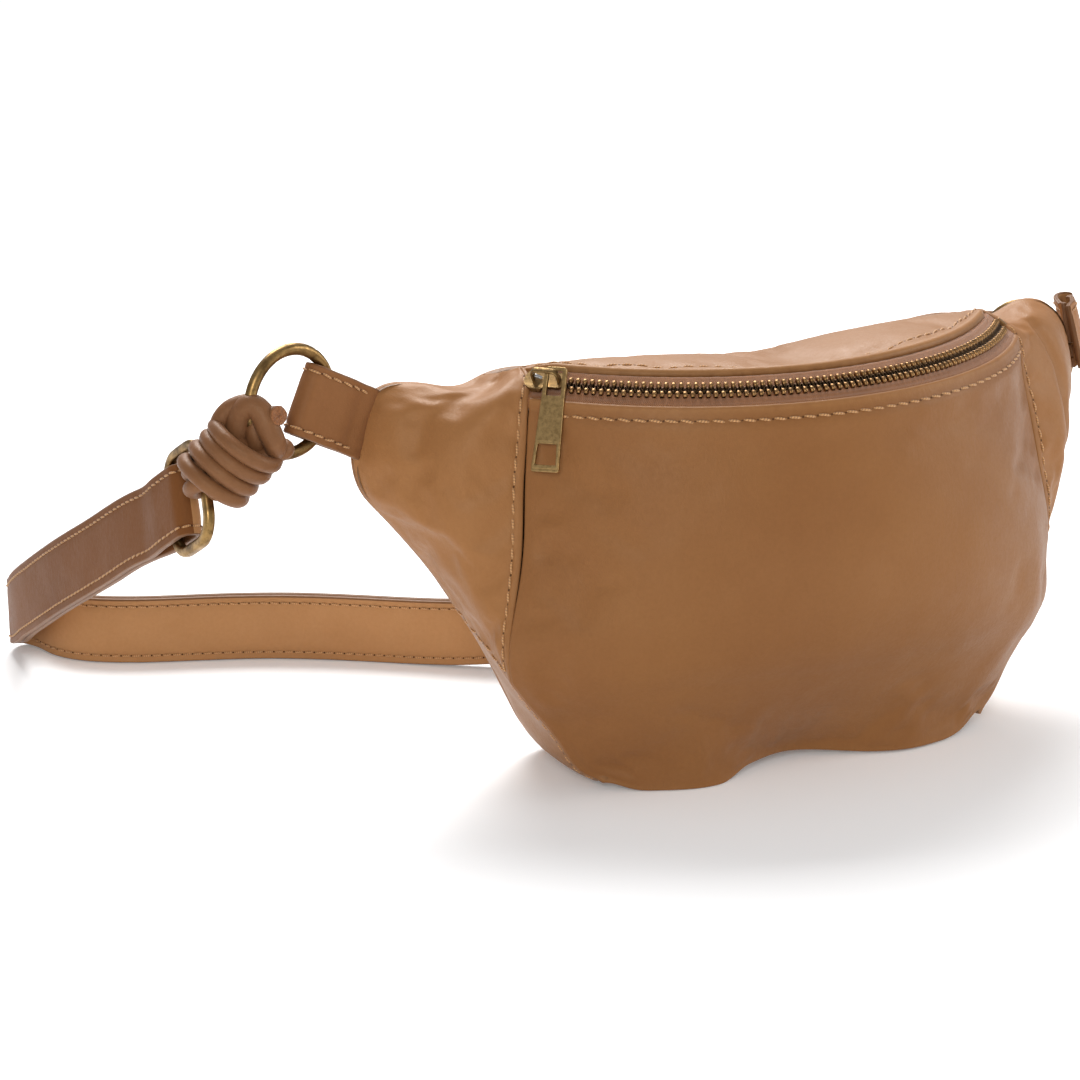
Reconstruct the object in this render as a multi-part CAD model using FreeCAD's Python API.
import FreeCAD, Part
import math
import os

# A small leather bag with a curved zip, a flat back, two wings that carry rings, and a strap.
# Millimetres. x runs from the bag's left (-) to its right (+), z is up and the base is at z = 0.
# The flat back's rear face is the plane y = 0, the bag's front faces -y, and the strap lies
# mostly behind the bag, at y > 0.

V = FreeCAD.Vector
UP = V(0, 0, 1)

# ---------------------------------------------------------------- driving dimensions
LEATHER_T = 1.2            # thickness of the flat back panel and of the base panel
REAR_Y = -LEATHER_T - 0.35  # where the soft panels end, just ahead of the back panel
GAP = 0.0016               # inset of a panel's edges from the seam line, as a share of its span
SHELL_CENTRE = V(0, -38, 75)            # nested shells shrink towards this point
SHELL_STEP = V(0.0115, 0.028, 0.0165)   # share lost along each axis per step of shell depth

ZIP_CY = 35.8              # centre of the zip arc lies on x = 0, y = ZIP_CY
ZIP_R = 118.8              # radius of the zip arc, at the centre line of the teeth
ZIP_Z = 145.9              # height of the teeth centre line
ZIP_HALF = 54.0            # half angle of the tapes and of the front panel's top edge (degrees)
ZIP_TILT = 36.6            # slope of the zip band, falling towards the front (degrees)
TOOTH_PITCH = 2.6
SLIDER_AT = -52.2          # rest angle of the slider on the arc (closed, at the left end)
PULL_LEN = 36.6
PULL_T = 1.1
PULL_RISE = 2.5            # height of the pull's pivot above the foot of the bridge

STRAP_W = 25.4
PLY_T = 1.15               # one ply of strap leather
PLY_GAP = 0.12
RING_R = 18.2              # centre line radius of the round rings
RING_WIRE = 2.15           # wire radius
LOOP_W = 33.0              # strap loop (rounded rectangular ring), outside
LOOP_H = 38.0
LOOP_BAR = 3.8             # side of the loop's square section
LOOP_CORNER = 11.0         # outside corner radius
CORD_R = 2.7               # knot cord radius

os.makedirs("parts", exist_ok=True)


# ---------------------------------------------------------------- curves and surfaces
def lerp(a, b, t):
    return a + (b - a) * t


def curve(points):
    c = Part.BSplineCurve()
    c.interpolate(points)
    return c


def running_lengths(points):
    """Length travelled from the first point to each point."""
    lengths = [0.0]
    for a, b in zip(points, points[1:]):
        lengths.append(lengths[-1] + b.distanceToPoint(a))
    return lengths


def locate(lengths, length):
    """Index of the span that holds a length, and the share of that span covered."""
    lo, hi = 0, len(lengths) - 1
    while hi - lo > 1:
        mid = (lo + hi) // 2
        if lengths[mid] <= length:
            lo = mid
        else:
            hi = mid
    return lo, (length - lengths[lo]) / max(lengths[hi] - lengths[lo], 1e-9)


def spline(points):
    """Function of t in 0..1 along a smooth curve through the points, by chord length."""
    c = curve([V(p) for p in points])
    n = 400
    first, last = c.FirstParameter, c.LastParameter
    samples = [c.value(first + (last - first) * i / n) for i in range(n + 1)]
    lengths = running_lengths(samples)

    def f(t):
        i, share = locate(lengths, max(0.0, min(1.0, t)) * lengths[-1])
        return lerp(samples[i], samples[i + 1], share)
    return f


def chain(curves, weights):
    """One curve function from several in a row, each given a share of t by its weight."""
    total = float(sum(weights))
    cuts = [0.0]
    for w in weights:
        cuts.append(cuts[-1] + w / total)

    def f(t):
        for i, g in enumerate(curves):
            if t <= cuts[i + 1] or i == len(curves) - 1:
                share = (t - cuts[i]) / (cuts[i + 1] - cuts[i])
                return g(min(1.0, max(0.0, share)))
    return f


def mirrored(f):
    """The curve function f on the other side of the plane x = 0."""
    def g(t):
        p = f(t)
        return V(-p.x, p.y, p.z)
    return g


def backwards(f):
    return lambda t: f(1 - t)


def coons(top, bottom, left, right):
    """Surface from four edge functions: top and bottom run in u, left and right in v from the top."""
    p00, p10, p01, p11 = top(0), top(1), bottom(0), bottom(1)

    def f(u, v):
        a = top(u) * (1 - v) + bottom(u) * v
        b = left(v) * (1 - u) + right(v) * u
        corners = (p00 * ((1 - u) * (1 - v)) + p10 * (u * (1 - v))
                   + p01 * ((1 - u) * v) + p11 * (u * v))
        return a + b - corners
    return f


def bulge(u, v, power_u=1.0):
    """Swell that is 1 in the middle of a panel and 0 at its edges."""
    return (max(0.0, math.sin(math.pi * u)) ** power_u) * max(0.0, math.sin(math.pi * v))


def shrink(p, depth):
    """Moves p towards SHELL_CENTRE. A depth of 1 is about one leather thickness."""
    d = p - SHELL_CENTRE
    return SHELL_CENTRE + V(d.x * (1 - SHELL_STEP.x * depth), d.y * (1 - SHELL_STEP.y * depth),
                            d.z * (1 - SHELL_STEP.z * depth))


# ---------------------------------------------------------------- solids
def positive(shape):
    """Turns a solid the right way out."""
    if shape.Volume < 0:
        shape.reverse()
    return shape


def mirror(shape):
    return positive(shape.mirror(V(0, 0, 0), V(1, 0, 0)))


def export(name, *shapes):
    shape = shapes[0] if len(shapes) == 1 else Part.makeCompound(list(shapes))
    shape.exportStep("parts/%s.step" % name)


def polygon_face(points):
    return Part.Face(Part.makePolygon(points + [points[0]]))


def prism(points, along):
    return polygon_face(points).extrude(along)


def centred_box(width, depth, height, y, z):
    return Part.makeBox(width, depth, height, V(-width / 2.0, y, z))


def solid_from_faces(faces):
    c = Part.makeCompound(faces)
    c.sewShape(1e-3)
    shell = c.Shells[0] if c.Shells else Part.Shell(faces)
    s = Part.Solid(shell)
    s.fix(1e-4, 1e-4, 1e-4)
    # the repair may wrap the solid in another shape
    if s.ShapeType != "Solid":
        s = s.Solids[0]
    return positive(s)


def thick_grid(outer, inner):
    """Closed solid between two grids of points with the same layout."""
    surfaces = []
    for rows in (outer, inner):
        b = Part.BSplineSurface()
        b.interpolate(rows)
        surfaces.append(b)

    def edges(s):
        u0, u1, v0, v1 = s.bounds()
        return [iso.toShape() for iso in (s.uIso(u0), s.uIso(u1), s.vIso(v0), s.vIso(v1))]
    faces = [s.toShape() for s in surfaces]
    for a, b in zip(edges(surfaces[0]), edges(surfaces[1])):
        faces.append(Part.makeRuledSurface(a, b))
    return solid_from_faces(faces)


def patch(surface, depth0, depth1, nu, nv, u0=GAP, u1=1 - GAP, v0=GAP, v1=1 - GAP):
    """Thick piece of a surface between two shell depths, from a grid of nu by nv points."""
    us = [u0 + (u1 - u0) * i / (nu - 1) for i in range(nu)]
    vs = [v0 + (v1 - v0) * j / (nv - 1) for j in range(nv)]
    base = [[surface(u, v) for v in vs] for u in us]
    outer, inner = [[[shrink(p, k) for p in row] for row in base] for k in (depth0, depth1)]
    return thick_grid(outer, inner)


# ---------------------------------------------------------------- bands
# A band follows a list of frames (centre, across, normal).
def frame(centre, tangent, across):
    """Frame with the across vector squared to the tangent."""
    across = (across - tangent * across.dot(tangent)).normalize()
    return centre, across, tangent.cross(across).normalize()


def tangent_at(f, t, reach):
    return (f(min(1, t + reach)) - f(max(0, t - reach))).normalize()


def ruled(c1, c2):
    """Face swept by straight lines between two B-spline curves that share their knots."""
    poles = [[a, b] for a, b in zip(c1.getPoles(), c2.getPoles())]
    b = Part.BSplineSurface()
    b.buildFromPolesMultsKnots(poles, c1.getMultiplicities(), [2, 2], c1.getKnots(), [0.0, 1.0],
                               False, False, c1.Degree, 1)
    return b.toShape()


def ribbon(frames, t0, t1):
    """Band solid of strap width. t0..t1 is its thickness range along the normal."""
    h = STRAP_W / 2.0
    corners = [[c + w * (h * side) + n * t for c, w, n in frames]
               for side, t in ((1, t1), (-1, t1), (-1, t0), (1, t0))]
    # all four corner curves share these parameters, so that they share their knots
    params = [0.0]
    for a, b in zip(frames, frames[1:]):
        params.append(params[-1] + b[0].distanceToPoint(a[0]) + 1e-3)
    edges = []
    for points in corners:
        c = Part.BSplineCurve()
        c.interpolate(Points=points, Parameters=params)
        edges.append(c)
    faces = [ruled(edges[i], edges[(i + 1) % 4]) for i in range(4)]
    for end in (0, -1):
        faces.append(polygon_face([points[end] for points in corners]))
    return solid_from_faces(faces)


def tab_band(points, across, half_t):
    """Single band along a smooth curve, with one across direction throughout."""
    f = spline(points)
    n = 60
    frames = [frame(f(i / n), tangent_at(f, i / n, 0.006), across) for i in range(n + 1)]
    return ribbon(frames, -half_t, half_t)


# ---------------------------------------------------------------- bag outline curves
def around_zip(radius, angle, z):
    """Point about the zip's centre. The angle is in degrees, 0 at the front, growing to the right."""
    a = math.radians(angle)
    return V(radius * math.sin(a), ZIP_CY - radius * math.cos(a), z)


def zip_arc(radius, z, half):
    return lambda t: around_zip(radius, -half + 2 * half * t, z)


# seam between the right wing and the front, x y z, top to bottom
SEAM = [
    (95.3, -22.6, 150.2), (97.2, -31.5, 146.5), (101.0, -37.4, 139.8), (102.4, -39.4, 128),
    (104.7, -42, 112), (107.6, -46, 90), (111.5, -48, 72), (114.2, -48.5, 58),
    (114.0, -48, 48), (112.5, -47, 42.5)]
# front edge of the right gusset, x y z, from the wing down to the base
LOW_SIDE = [
    (112.5, -47, 42.5), (106, -46.5, 34), (98.5, -47, 25), (92, -48, 15.5), (86, -50.5, 6),
    (80, -55, 0.0)]
# front edge of the base, x y, left to right
LOW_FRONT = [
    (-80, -55), (-68, -60), (-50, -65.5), (-25, -65), (0, -63.5), (25, -65), (50, -65.5),
    (68, -60), (80, -55)]
# outer edge of the right wing at the back, x z, top to bottom
WING_RIM = [
    (100, 146.2), (107, 143.8), (115, 143.8), (122, 145.6), (129.5, 146.9), (137, 145.6),
    (143.5, 141.2), (148.5, 133.5), (150.8, 124), (150.5, 114), (147.5, 105), (141, 97),
    (130, 84.5), (119, 70.5), (112, 60)]
# rear edge of the right gusset, x z, from the wing down to the base
LOW_RIM = [(112, 60), (104.4, 48.5), (96, 33.5), (88.5, 18.5), (80, 6), (68, 0)]
# top edge at the back, x z, left to right
REAR_TOP = [
    (-100, 146.2), (-70, 146), (-35, 143.6), (0, 141.8), (35, 143.6), (70, 146), (100, 146.2)]
BASE_REAR_HALF = LOW_RIM[-1][0]  # half width of the base at the back


def rear_spline(outline):
    return spline([(x, REAR_Y, z) for x, z in outline])


seam = spline(SEAM)
front_side = spline(SEAM[2:])  # the part of the seam that borders the front panel
low_side = spline(LOW_SIDE)
low_front = spline([(x, y, 0) for x, y in LOW_FRONT])
wing_rim = rear_spline(WING_RIM)
low_rim = rear_spline(LOW_RIM)
rear_top = rear_spline(REAR_TOP)
wing_top = spline([(95.3, -22.6, 150.2), (97.3, -13, 148.6), (100, REAR_Y, 146.2)])
wing_low = spline([(112.5, -47, 42.5), (113.2, -26, 51.5), (112, REAR_Y, 60)])


def base_rear(t):
    return V(-BASE_REAR_HALF + 2 * BASE_REAR_HALF * t, REAR_Y, 0)


# ---------------------------------------------------------------- panel surfaces
side_right = chain([front_side, low_side], [0.69, 0.31])
front_core = coons(zip_arc(ZIP_R + 6.0, 139.8, ZIP_HALF), low_front,
                   mirrored(side_right), side_right)
wing_core = coons(wing_top, wing_low, seam, wing_rim)
top_core = coons(zip_arc(ZIP_R - 7.0, 150.2, 58.4), rear_top, mirrored(wing_top), wing_top)

# the gusset's long edges, from the left wing round under the bag to the right wing
GUSSET_WEIGHTS = [62, 168, 62]
gusset_front = chain([mirrored(low_side), low_front, backwards(low_side)], GUSSET_WEIGHTS)
gusset_rear = chain([mirrored(low_rim), base_rear, backwards(low_rim)], GUSSET_WEIGHTS)


def front(u, v):
    return front_core(u, v) + V(0, -17.0 * bulge(u, v, 0.75), 0)


def wing(u, v):
    return wing_core(u, v) + V(2.5, -6.0, 0) * bulge(u, v)


def top(u, v):
    return top_core(u, v) + V(0, 0, 1.2 * bulge(u, v))


def gusset(u, v):
    """u runs from left to right under the bag, v from the front edge to the rear edge."""
    side = 0.0
    if u < 0.22:
        side = -1.0
    elif u > 0.78:
        side = 1.0
    outboard = min(1.0, abs(u - 0.5) / 0.5)
    swell = max(0.0, math.sin(math.pi * min(1.0, (1 - outboard) / 0.44)))
    out = 3.0 * side * math.sin(math.pi * v) * swell
    return lerp(gusset_front(u), gusset_rear(u), v) + V(out, 0, 0)


# ---------------------------------------------------------------- leather panels
def base_panel():
    n = 24
    edge = []
    for i in range(n + 1):
        p = low_front(i / n)
        edge.append(V(p.x * 0.978, p.y + 1.3, 0))
    rear_half = BASE_REAR_HALF - 1.6
    rear_y = REAR_Y - 0.4
    corners = [edge[-1], V(rear_half, rear_y, 0), V(-rear_half, rear_y, 0), edge[0]]
    sides = [Part.LineSegment(a, b).toShape() for a, b in zip(corners, corners[1:])]
    wire = Part.Wire([curve(edge).toShape()] + sides)
    return positive(Part.Face(wire).extrude(V(0, 0, LEATHER_T)))


export("front_panel", patch(front, 0, 1, 25, 17))
right_wing = patch(wing, 0, 1, 13, 25, u0=0.004, u1=0.998)
export("right_wing", right_wing)
export("left_wing", mirror(right_wing))
left_gusset = patch(gusset, 0, 1, 13, 7, u0=0.004, u1=0.2118, v0=0.008, v1=0.996)
export("left_gusset", left_gusset)
export("right_gusset", mirror(left_gusset))
export("base_panel", base_panel())
export("top_panel", patch(top, 0, 1, 25, 9, v0=0.012, v1=0.996))


# ---------------------------------------------------------------- flat plates of the back
def back_outline_face():
    """The bag's whole outline, wings included, in the plane y = 0."""
    half = WING_RIM + LOW_RIM[1:]
    right = curve([V(x, 0, z) for x, z in half])
    left = curve([V(-x, 0, z) for x, z in reversed(half)])
    upper = curve([V(x, 0, z) for x, z in REAR_TOP])
    bottom = Part.LineSegment(V(BASE_REAR_HALF, 0, 0), V(-BASE_REAR_HALF, 0, 0))
    return Part.Face(Part.Wire([c.toShape() for c in (right, bottom, left, upper)]))


back_face = back_outline_face()


def back_plate(y0, y1, depth):
    """Plate of the back outline between two y planes, shrunk in x and z like the shells."""
    if depth:
        m = FreeCAD.Matrix()
        m.move(-SHELL_CENTRE.x, 0, -SHELL_CENTRE.z)
        m.scale(1 - SHELL_STEP.x * depth, 1, 1 - SHELL_STEP.z * depth)
        m.move(SHELL_CENTRE.x, 0, SHELL_CENTRE.z)
        face = back_face.transformGeometry(m)
    else:
        face = back_face.copy()
    face.translate(V(0, y1, 0))
    return positive(face.extrude(V(0, y0 - y1, 0)))


export("back_panel", back_plate(-LEATHER_T, 0, 0))
export("back_padding", back_plate(-4.6, -1.9, 2.6))
export("lining_back", back_plate(-5.6, -4.9, 3.4))

# ---------------------------------------------------------------- fabric lining and inside
export("lining_front", patch(front, 1.75, 2.25, 21, 15, 0.015, 0.985, 0.02, 0.965))
lining_wing = patch(wing, 1.5, 2.2, 9, 15, 0.06, 0.88, 0.03, 0.97)
export("lining_sides", lining_wing, mirror(lining_wing))
export("lining_base", patch(gusset, 1.9, 2.5, 41, 5, 0.03, 0.97, 0.06, 0.86))
export("lining_top", patch(top, 1.5, 2.1, 17, 7, 0.03, 0.97, 0.05, 0.90))

# board that keeps the base flat, with its upright corners rounded
board = centred_box(112, 38, 1.6, -48, 3.9)
board = board.makeFillet(
    8, [e for e in board.Edges if abs(e.Vertexes[0].Z - e.Vertexes[-1].Z) > 1])
export("base_board", board)

# slip pocket inside the back lining
export("inner_pocket", centred_box(118, 0.7, 78, -6.9, 38))

# ---------------------------------------------------------------- zip tapes and teeth
# Zip band coordinates: angle along the arc, s outward and down the slope, n above it.
TILT_COS = math.cos(math.radians(ZIP_TILT))
TILT_SIN = math.sin(math.radians(ZIP_TILT))


def zip_point(angle, s, n):
    return around_zip(ZIP_R + TILT_COS * s + TILT_SIN * n, angle,
                      ZIP_Z - TILT_SIN * s + TILT_COS * n)


def zip_sweep(profile, a0, a1):
    """Revolves a band profile given in (s, n) about the zip centre, between two angles."""
    face = polygon_face([zip_point(a0, s, n) for s, n in profile])
    return positive(face.revolve(V(0, ZIP_CY, 0), UP, a1 - a0))


def zip_bar(s0, s1, upper, lower, a0, a1):
    return zip_sweep([(s0, upper), (s1, upper), (s1, lower), (s0, lower)], a0, a1)


TAPE_EDGE = 1.55           # distance of each tape's edge from the centre line
TAPE_TOP, TAPE_BOTTOM = -0.45, -1.05
export("zip_tape_front",
       zip_bar(TAPE_EDGE, 6.9, TAPE_TOP, TAPE_BOTTOM, -ZIP_HALF, ZIP_HALF))
export("zip_tape_rear",
       zip_bar(-7.9, -TAPE_EDGE, TAPE_TOP, TAPE_BOTTOM, -ZIP_HALF, ZIP_HALF))

TOOTH_FIRST, TOOTH_LAST = -48.4, 53.0    # angles that the teeth lie between
TOOTH_HALF_T = 0.55
TOOTH_BOTTOM = -1.35
TOOTH_H = 2.3
TOOTH_SHORT, TOOTH_LONG = 1.15, 1.45     # reach past the centre line, and onto the own tape
tooth_step = math.degrees(TOOTH_PITCH / ZIP_R)
tooth_count = int((TOOTH_LAST - TOOTH_FIRST) / tooth_step)


def tooth(angle, s0, s1):
    """One tooth: a straight block along s."""
    w = math.degrees(TOOTH_HALF_T / ZIP_R)
    corners = [(angle - w, s0), (angle + w, s0), (angle + w, s1), (angle - w, s1)]
    rise = (zip_point(angle, 0, 1) - zip_point(angle, 0, 0)).normalize()
    return positive(prism([zip_point(a, s, TOOTH_BOTTOM) for a, s in corners], rise * TOOTH_H))


def tooth_row(shift, s0, s1):
    """Row of teeth, moved along the arc by a share of the pitch."""
    return [tooth(TOOTH_FIRST + (i + shift) * tooth_step, s0, s1) for i in range(tooth_count)]


export("zip_teeth_front", *tooth_row(0, -TOOTH_SHORT, TOOTH_LONG))
export("zip_teeth_rear", *tooth_row(0.5, -TOOTH_LONG, TOOTH_SHORT))
export("zip_end_stops", zip_bar(-1.4, 1.4, 0.8, -1.3, 53.1, 53.9))

# ---------------------------------------------------------------- zip slider
BRIDGE_AT = SLIDER_AT + 0.6


def slider_top(lower, middle, upper, a0, a1):
    """Top plate with bevelled edges, from its half widths at three heights."""
    return zip_sweep([(-lower, 1.2), (lower, 1.2), (middle, 1.6), (upper, 2.5),
                      (-upper, 2.5), (-middle, 1.6)], a0, a1)


def slider_body():
    """Two plates joined by a post at the end away from the teeth."""
    start, end = SLIDER_AT - 2.2, SLIDER_AT + 3.9
    step = SLIDER_AT + 0.25  # the top plate narrows from here, where the pull passes it
    wide = slider_top(4.3, 4.6, 3.9, start, step)
    narrow = slider_top(3.0, 3.2, 2.5, step, end)
    lower = zip_bar(-4.3, 4.3, -1.7, -2.8, start, end)
    post = zip_bar(-1.2, 1.2, 1.3, -1.8, start + 0.3, start + 1.7)
    return wide.fuse([narrow, lower, post]).removeSplitter().Solids[0]


export("zip_slider_body", slider_body())

# directions at the bridge: along the zip, above the band, outward down the slope
travel = (zip_point(BRIDGE_AT + 0.5, 0, 0) - zip_point(BRIDGE_AT - 0.5, 0, 0)).normalize()
above = (zip_point(BRIDGE_AT, 0, 1) - zip_point(BRIDGE_AT, 0, 0)).normalize()
outward = (zip_point(BRIDGE_AT, 1, 0) - zip_point(BRIDGE_AT, 0, 0)).normalize()
bridge_foot = zip_point(BRIDGE_AT, 0, 2.58)


def bridge_prism(profile, width):
    """Profile given as (along travel, above the foot), extruded evenly to both sides."""
    points = [bridge_foot + travel * a + above * n - outward * (width / 2.0)
              for a, n in profile]
    return positive(prism(points, outward * width))


# arch over the top plate along the travel direction
export("zip_bridge", bridge_prism(
    [(-5.2, 0), (-5.2, 3.3), (-3.6, 4.8), (3.6, 4.8), (5.2, 3.3), (5.2, 0),
     (4.2, 0), (4.2, 3.2), (3.3, 4.1), (-3.3, 4.1), (-4.2, 3.2), (-4.2, 0)], 1.7))
# thin leaf under the bridge's left end
export("zip_lock_spring", bridge_prism(
    [(-3.9, 0.15), (-1.6, 0.15), (-1.6, 0.45), (-3.9, 1.6)], 1.1))


def zip_pull():
    """Tab whose upper window hooks the bridge's right leg, hanging over the front panel."""
    pivot = bridge_foot + above * PULL_RISE + travel * 4.2
    radial = around_zip(1, BRIDGE_AT, 0) - V(0, ZIP_CY, 0)
    down = (radial * 0.42 - UP + travel * 0.05).normalize()
    facing = down.cross(travel).normalize()
    side = facing.cross(down).normalize()

    def slab(outline, half_t):
        points = [pivot + side * a + down * d - facing * half_t for a, d in outline]
        return prism(points, facing * (2 * half_t))

    # outlines as (sideways, down from the pivot)
    shoulder, end = PULL_LEN - 3.6, PULL_LEN - 2.9
    pull = slab([(-3.3, -2.75), (3.3, -2.75), (4.0, -1.8), (5.1, shoulder), (4.5, end),
                 (-4.5, end), (-5.1, shoulder), (-4.0, -1.8)], PULL_T / 2)
    for window in ([(-2.6, -1.6), (2.6, -1.6), (2.7, 7.2), (-2.7, 7.2)],
                   [(-3.3, 23.8), (3.3, 23.8), (3.6, 31.4), (-3.6, 31.4)]):
        pull = pull.cut(slab(window, PULL_T))
    return positive(pull).Solids[0]


export("zip_pull", zip_pull())

# ---------------------------------------------------------------- left tab and round ring
RING_CENTRE = V(-179.6, -13.2, 144.3)
ring_normal = V(0.28, -0.96, 0).normalize()
ring_level = V(0.96, 0.28, 0).normalize()  # level direction in the ring's plane
export("round_ring", Part.makeTorus(RING_R, RING_WIRE, RING_CENTRE, ring_normal))


def left_tab():
    """Band that leaves the wing tip outward and up, folds at the ring and comes back."""
    length = 29.5
    closed, spread = 1.0, 3.2  # half gap between the leaves at the wing and at the fold
    out = (ring_level * -0.90 + UP * 0.436).normalize()
    base = RING_CENTRE + ring_level * 4.6 + V(0, 0, 0.4) - out * length
    # (distance out, offset along the ring's normal)
    leaf_line = [(0.0, closed), (length * 0.14, closed + 0.1),
                 (length * 0.28, closed + 0.62 * (spread - closed)),
                 (length * 0.42, spread), (length * 0.58, spread), (length * 0.75, spread)]
    turn = [(length - spread + spread * math.sin(math.radians(q)),
             spread * math.cos(math.radians(q))) for q in range(0, 181, 30)]
    line = leaf_line + turn + [(a, -b) for a, b in reversed(leaf_line)]
    points = [base + out * a + ring_normal * b for a, b in line]
    return tab_band(points, out.cross(ring_normal).normalize(), 0.7)


export("left_tab", left_tab())

# ---------------------------------------------------------------- strap loop
LOOP_CENTRE = V(-211.9, 0.5, 110.9)
LOOP_ACROSS = V(0.094, 0.485, 0.868)       # along the loop's strap bar, before squaring
loop_out = V(0.047, -0.869, 0.484).normalize()  # from its strap bar to its knot bar
loop_across = (LOOP_ACROSS - loop_out * LOOP_ACROSS.dot(loop_out)).normalize()
loop_normal = loop_out.cross(loop_across).normalize()


def rounded_prism(inset, half_t):
    """Rounded rectangle in the loop's plane, inset from its outside and extruded both ways."""
    r = LOOP_CORNER - inset
    a, b = LOOP_W / 2 - LOOP_CORNER, LOOP_H / 2 - LOOP_CORNER
    points = []
    for ca, cb, start in ((a, b, 0), (-a, b, 90), (-a, -b, 180), (a, -b, 270)):
        for turn in range(0, 91, 15):
            q = math.radians(start + turn)
            points.append(LOOP_CENTRE + loop_out * (ca + r * math.cos(q))
                          + loop_across * (cb + r * math.sin(q)) - loop_normal * half_t)
    return prism(points, loop_normal * (2 * half_t))


strap_loop = rounded_prism(0, LOOP_BAR / 2).cut(rounded_prism(LOOP_BAR, 3))
export("strap_loop", positive(strap_loop).Solids[0])

# ---------------------------------------------------------------- knot between ring and loop
KNOT_CENTRE = V(-203.3, -13.6, 125.8)
KNOT_TURN_R = 12.6
KNOT_FIRST, KNOT_PITCH, KNOT_TURNS = -6.4, 5.5, 4   # turns spaced along the knot's axis
HOOK_R = 5.05
HOOK_LEG = 8.0
knot_axis = V(-0.594, 0.312, -0.737).normalize()    # from the round ring to the strap loop


def hook(bar, toward, axis):
    """U of cord round a bar centred at bar. toward points into the knot, axis spans the legs."""
    def section(p):
        return Part.Face(Part.Wire([Part.Circle(p, toward, CORD_R).toShape()]))

    start, end = bar + axis * HOOK_R, bar - axis * HOOK_R
    bend = section(start).revolve(bar, toward.cross(axis).normalize(), 180)
    legs = [section(p).extrude(toward * HOOK_LEG) for p in (start, end)]
    return positive(bend.fuse(legs).removeSplitter().Solids[0])


def knot():
    turns = [Part.makeTorus(KNOT_TURN_R, CORD_R,
                            KNOT_CENTRE + knot_axis * (KNOT_FIRST + KNOT_PITCH * i), knot_axis)
             for i in range(KNOT_TURNS)]
    from_ring = (knot_axis - ring_normal * knot_axis.dot(ring_normal)).normalize()
    ring_hook = hook(RING_CENTRE + from_ring * RING_R, from_ring, ring_normal)
    back = knot_axis * -1
    from_loop = (back - loop_across * back.dot(loop_across)).normalize()
    loop_hook = hook(LOOP_CENTRE + loop_out * (LOOP_W / 2 - LOOP_BAR / 2), from_loop,
                     loop_across.cross(from_loop).normalize())
    return turns + [ring_hook, loop_hook]


export("knot_cord", *knot())

# ---------------------------------------------------------------- right tab and ring
RIGHT_CENTRE = V(147.3, 23.7, 117.0)
right_level = V(0.45, -0.89, 0).normalize()     # level, in the ring's plane, towards the front
right_normal = V(0.89, 0.45, 0).normalize()
right_wire = RIGHT_CENTRE - right_level * RING_R  # rear point of the wire, held by the strap
export("right_ring", Part.makeTorus(RING_R, RING_WIRE, RIGHT_CENTRE, right_normal))

# x y z: back from the right wing tip, round the ring's near wire and back to the tip's rear
RIGHT_TAB = [
    (152.4, -0.9, 128.0), (155.2, 1.6, 128.2), (158.2, 5.2, 128.5), (160.1, 8.8, 128.8),
    (159.7, 12.0, 128.9), (156.9, 12.6, 128.9), (154.6, 10.2, 128.7), (153.4, 7.4, 128.5),
    (152.6, 4.6, 128.2), (152.0, 2.4, 128.0)]
export("right_tab", tab_band(RIGHT_TAB, V(-0.36, -0.10, 0.93).normalize(), 0.55))

# ---------------------------------------------------------------- strap middle line
# point x y z, then the across direction there; from behind the strap loop to the right ring
STRAP_LINE = [
    (-214.3, 40, 90.6, 0.08, 0.46, 0.88), (-215, 68, 76.5, 0.03, 0.45, 0.89),
    (-214.7, 108, 57, 0, 0.43, 0.90), (-211.8, 150, 37.3, 0, 0.42, 0.91),
    (-208.2, 178, 25, 0.02, 0.36, 0.93), (-204.7, 195, 18.0, 0.04, 0.25, 0.96),
    (-200.6, 204.0, 15.0, 0.05, 0.10, 0.99), (-195.6, 205.2, 13.6, 0.04, 0, 1),
    (-191.4, 198.8, 13.0, 0.02, -0.02, 1), (-188.2, 188, 12.8, 0, 0, 1),
    (-183, 177, 12.8, 0, 0, 1), (-172, 167.5, 12.8, 0, 0, 1),
    (-150, 157.5, 12.8, 0, 0, 1), (-118, 144.5, 12.8, 0, 0, 1),
    (-97, 131.5, 12.8, 0, 0, 1), (-76, 115.5, 12.8, 0, 0, 1),
    (-55, 97.5, 14.0, 0, 0, 1), (-35, 86.2, 15.8, 0, 0, 1),
    (-10, 79.6, 16.9, 0, 0, 1), (20, 73.2, 16.9, 0, 0, 1),
    (45, 69.2, 17.6, -0.08, 0, 1), (68, 67.5, 22, -0.22, 0, 0.97),
    (88, 68, 31, -0.5, 0.05, 0.86), (103, 69, 50, -0.72, 0.08, 0.68),
    (115, 68, 73, -0.80, 0.10, 0.58), (125, 62, 95, -0.66, 0.10, 0.74),
    (132, 53.5, 109, -0.30, 0.08, 0.95)]
STRAP_SAMPLES = 900

line_stations = (
    [(LOOP_CENTRE - loop_out * d, LOOP_ACROSS) for d in (4.0, 15.0, 24.0)]
    + [(V(*row[:3]), V(*row[3:])) for row in STRAP_LINE]
    + [(right_wire, UP), (right_wire + right_level * 7.9, UP)])


def smooth(a, b, x):
    """Eased step from 0 at a to 1 at b."""
    t = max(0.0, min(1.0, (x - a) / (b - a)))
    return t * t * (3 - 2 * t)


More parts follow.
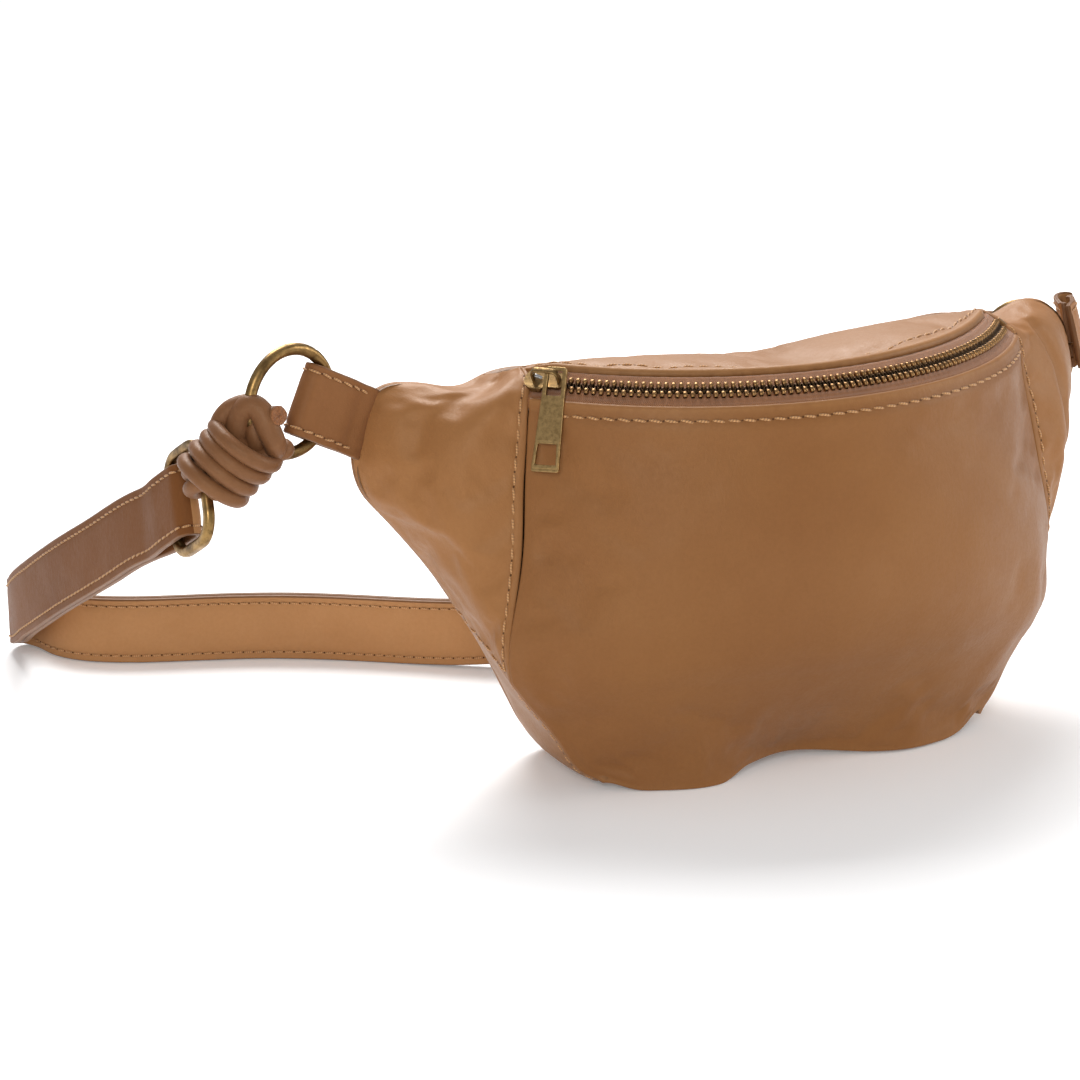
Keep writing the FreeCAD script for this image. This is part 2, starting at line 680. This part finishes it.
def line_frames(stations, n):
    """n + 1 frames along a smooth curve through stations of (point, across)."""
    f = spline([p for p, _ in stations])
    # place of each station on the curve, so that the across vectors follow their own points
    m = 600
    samples = [f(i / m) for i in range(m + 1)]
    places = []
    nearest = 0
    for p, _ in stations:
        nearest = min(range(nearest, m + 1), key=lambda i: samples[i].distanceToPoint(p))
        places.append(nearest / m)
    frames = []
    k = 0
    for i in range(n + 1):
        t = i / n
        while k < len(places) - 2 and places[k + 1] < t:
            k += 1
        share = smooth(0.0, 1.0, (t - places[k]) / max(places[k + 1] - places[k], 1e-6))
        across = lerp(stations[k][1], stations[k + 1][1], share)
        frames.append(frame(f(t), tangent_at(f, t, 0.004), across))
    return frames


middle = line_frames(line_stations, STRAP_SAMPLES)
middle_lengths = running_lengths([f[0] for f in middle])
STRAP_LEN = middle_lengths[-1]


def strap_at(length):
    """Frame of the middle line at a length along it."""
    length = max(0.0, min(STRAP_LEN, length))
    i, share = locate(middle_lengths, length)
    c, w, n = [lerp(a, b, share) for a, b in zip(middle[i], middle[i + 1])]
    return c, w.normalize(), n.normalize()


# ---------------------------------------------------------------- strap leaves
def leaf_offset(length):
    """Distance of a leaf's middle from the strap's middle line: wide at both rings."""
    return (1.5 + 1.95 * (1 - smooth(14, 32, length))
            + 2.15 * smooth(STRAP_LEN - 30, STRAP_LEN - 9, length))


def leaf(side, start, end, step):
    """Points of the leaf on one side (+1 or -1 along the normal), as (point, across)."""
    count = max(2, int(abs(end - start) / step))
    points = []
    for i in range(count + 1):
        length = start + (end - start) * i / count
        c, w, n = strap_at(length)
        points.append((c + n * (leaf_offset(length) * side), w))
    return points


def fold(length, way):
    """Half turn at an end of the middle line, bulging along it (way 1) or against it (-1)."""
    c, w, n = strap_at(length)
    r = leaf_offset(length)
    ahead = w.cross(n).normalize() * way
    points = []
    for i in range(1, 8):
        a = math.radians(22.5 * i)
        points.append((c - n * (r * math.cos(a) * way) + ahead * (r * math.sin(a)), w))
    return points


def two_plies(points):
    """Face ply and backing ply that follow a list of (point, across)."""
    last = len(points) - 1
    frames = []
    for i, (c, w) in enumerate(points):
        tangent = (points[min(last, i + 1)][0] - points[max(0, i - 1)][0]).normalize()
        frames.append(frame(c, tangent, w))
    near, far = PLY_GAP / 2, PLY_GAP / 2 + PLY_T
    return ribbon(frames, -far, -near), ribbon(frames, near, far)


# the adjuster sits at x = 2 on the run behind the bag, where y is below 120
adjuster_index = min(range(STRAP_SAMPLES + 1), key=lambda i: (
    abs(middle[i][0].x - 2.0) + (0 if middle[i][0].y < 120 else 999)))
ADJUSTER_AT = middle_lengths[adjuster_index]
TAIL_AT = ADJUSTER_AT - 52.0   # where the main strip ends and the tail begins
END_AT = STRAP_LEN - 46.0      # where the main strip ends and the end loop begins
BUTT_GAP = 0.3                 # gap between strips that meet end to end

# main strip: to the strap loop, round its bar, and back along the other side
main_strip = (leaf(1, TAIL_AT - BUTT_GAP, 34, 4.0) + leaf(1, 32, 0, 2.0) + fold(0, -1)
              + leaf(-1, 0, 32, 2.0) + leaf(-1, 34, END_AT - BUTT_GAP, 4.0))
strap_face, strap_backing = two_plies(main_strip)
export("strap_face", strap_face)
export("strap_backing", strap_backing)

# end loop: round the right ring's wire
export("strap_end_loop", *two_plies(
    leaf(-1, END_AT, STRAP_LEN, 2.0) + fold(STRAP_LEN, 1)
    + leaf(1, STRAP_LEN, STRAP_LEN - 42, 2.0)))

# ---------------------------------------------------------------- adjuster and strap tail
ADJUSTER_OFFSET = 4.7      # its mid plane, from the strap's middle line towards the bag
ADJUSTER_T = 2.2
TAIL_TURN_R = 3.05         # radius of the tail's turn round the middle bar
adj_centre, adj_across, adj_normal = strap_at(ADJUSTER_AT)
adj_along = (strap_at(ADJUSTER_AT + 1)[0] - strap_at(ADJUSTER_AT - 1)[0]).normalize()


def adj_point(along, across, n):
    return adj_centre + adj_along * along + adj_across * across + adj_normal * n


def adj_box(a0, a1, half_width, half_t):
    corners = [(a0, -half_width), (a1, -half_width), (a1, half_width), (a0, half_width)]
    points = [adj_point(a, w, ADJUSTER_OFFSET - half_t) for a, w in corners]
    return positive(prism(points, adj_normal * (2 * half_t)))


def strap_adjuster():
    """Three-bar slide: a plate with a window on each side of its middle bar."""
    plate = adj_box(-12, 12, 16.4, ADJUSTER_T / 2)
    for a0, a1 in ((-9.4, -1.3), (1.3, 9.4)):
        plate = plate.cut(adj_box(a0, a1, 13.6, 3))
    return plate.Solids[0]


def tail_points():
    """Along the inner leaf, then round the adjuster's middle bar."""
    points = leaf(1, TAIL_AT, ADJUSTER_AT - 14, 4.0)
    points += [(adj_point(-9, 0, 1.5), adj_across), (adj_point(-4.5, 0, 1.6), adj_across)]
    for q in range(-90, 151, 20):
        a = math.radians(q)
        points.append((adj_point(TAIL_TURN_R * math.cos(a), 0,
                                 ADJUSTER_OFFSET + TAIL_TURN_R * math.sin(a)), adj_across))
    return points


export("strap_adjuster", strap_adjuster())
export("strap_tail", *two_plies(tail_points()))
